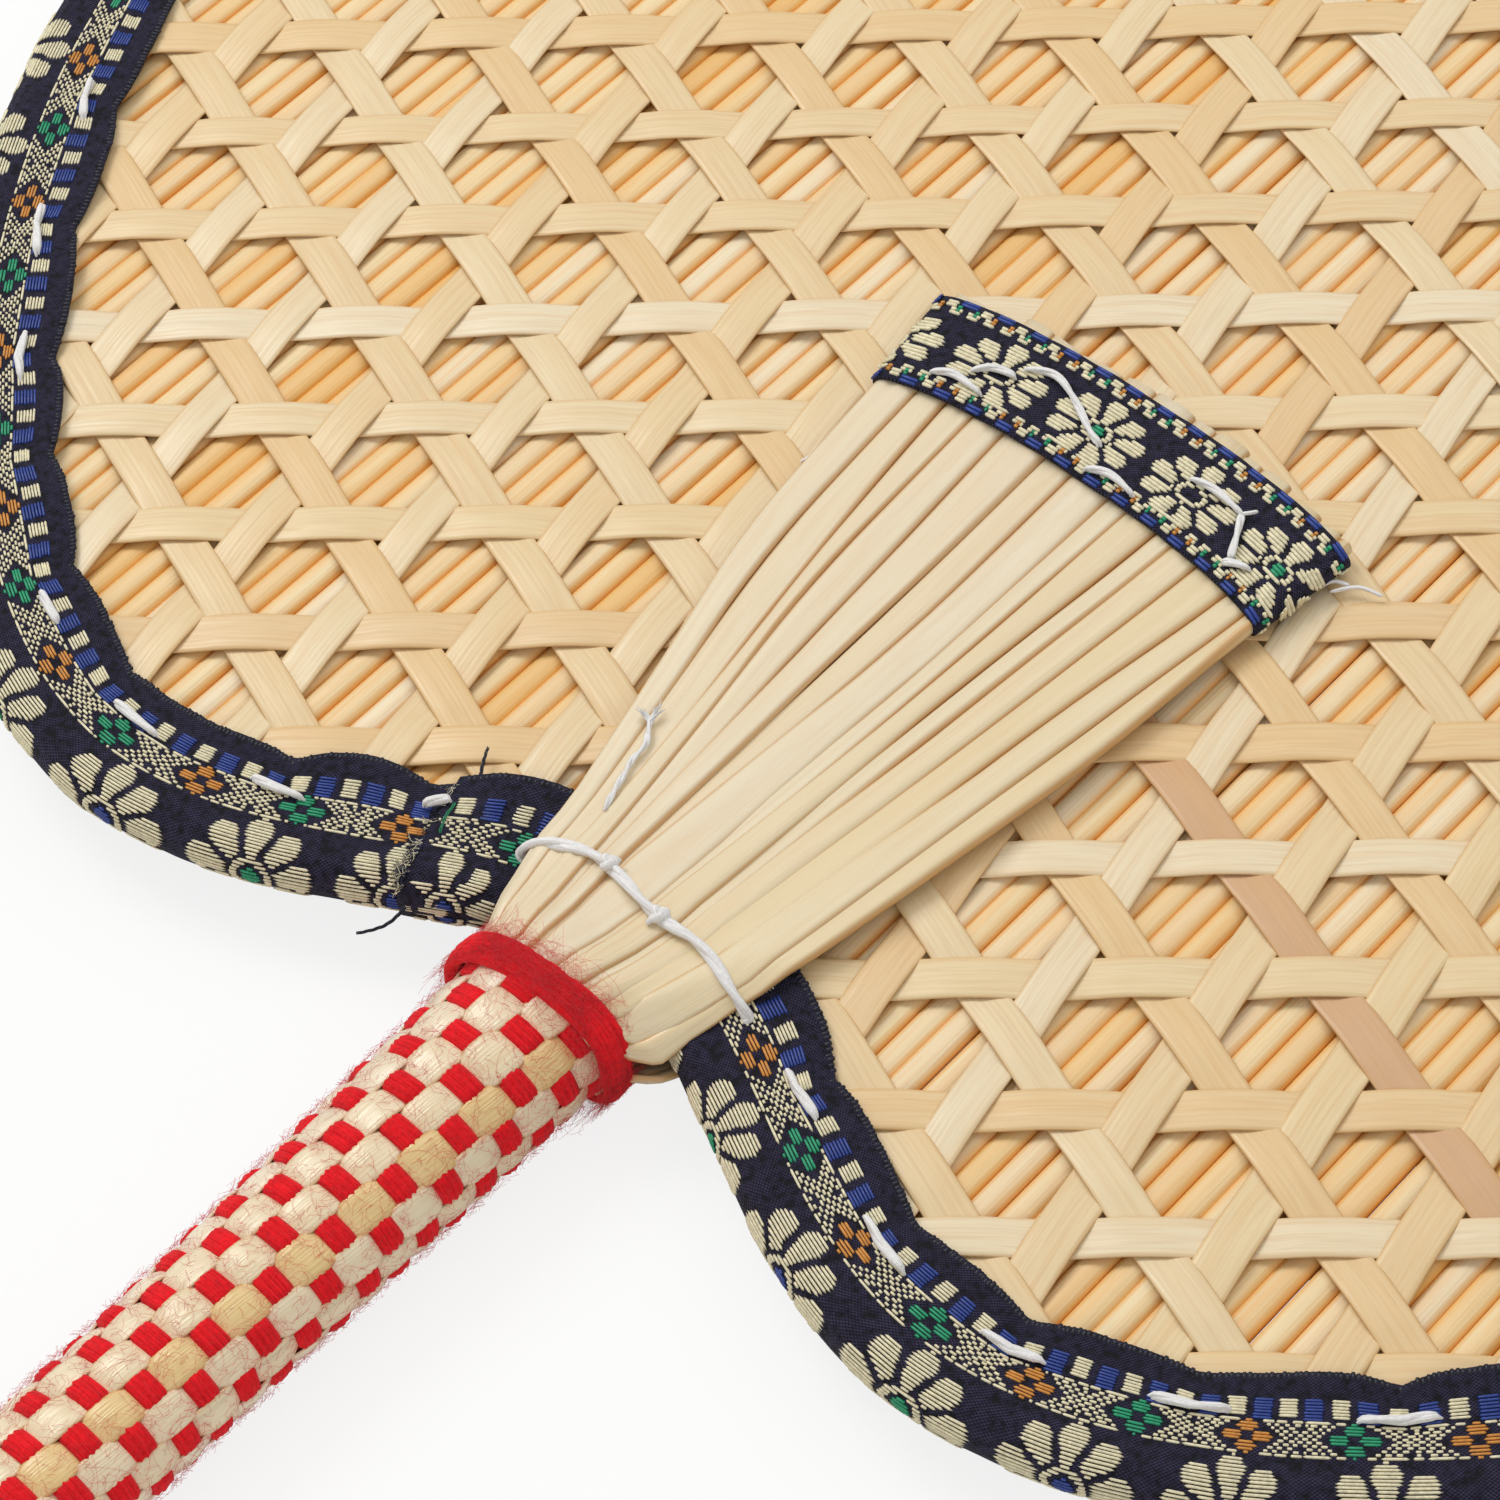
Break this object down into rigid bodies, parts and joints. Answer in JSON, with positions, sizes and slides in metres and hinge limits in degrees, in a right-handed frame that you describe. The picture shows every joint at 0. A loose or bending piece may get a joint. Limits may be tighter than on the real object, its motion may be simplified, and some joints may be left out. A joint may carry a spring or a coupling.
{
  "type": "woven straw hand fan",
  "caption": "Peach-shaped hand fan: a straw mat between two hexagonal splint nets, ribbon-bound, with a woven straw handle that splits into two sprays clasping the blade.",
  "frame": {"origin": "middle of the flat end of the handle, where the bundle of straws is cut off", "axes": "+Y along the handle to the blade's tip, +X to the right seen from the front, +Z out of the front face"},
  "size_m": [0.33, 0.4114, 0.0174],
  "materials": {
    "straw": "satin dried straw",
    "splint": "satin bamboo splint",
    "ribbon": "matte woven ribbon",
    "yarn": "matte fluffy yarn",
    "thread": "matte cotton thread"
  },
  "bodies": {
    "root": {"straw_core": "straw", "front_weave": "splint", "back_weave": "splint", "edge_ribbon": "ribbon", "front_straw_01": "straw", "front_straw_02": "straw", "front_straw_03": "straw", "front_straw_04": "straw", "front_straw_05": "straw", "front_straw_06": "straw", "front_straw_07": "straw", "front_straw_08": "straw", "front_straw_09": "straw", "front_straw_10": "straw", "front_straw_11": "straw", "front_straw_12": "straw", "front_straw_13": "straw", "front_straw_14": "straw", "front_band": "ribbon", "front_tie": "thread", "back_straw_01": "straw", "back_straw_02": "straw", "back_straw_03": "straw", "back_straw_04": "straw", "back_straw_05": "straw", "back_straw_06": "straw", "back_straw_07": "straw", "back_straw_08": "straw", "back_straw_09": "straw", "back_straw_10": "straw", "back_straw_11": "straw", "back_straw_12": "straw", "back_straw_13": "straw", "back_straw_14": "straw", "back_band": "ribbon", "back_tie": "thread", "handle_core": "straw", "woven_grip": "straw", "upper_collar": "yarn", "lower_collar": "yarn"}
  },
  "joints": []
}
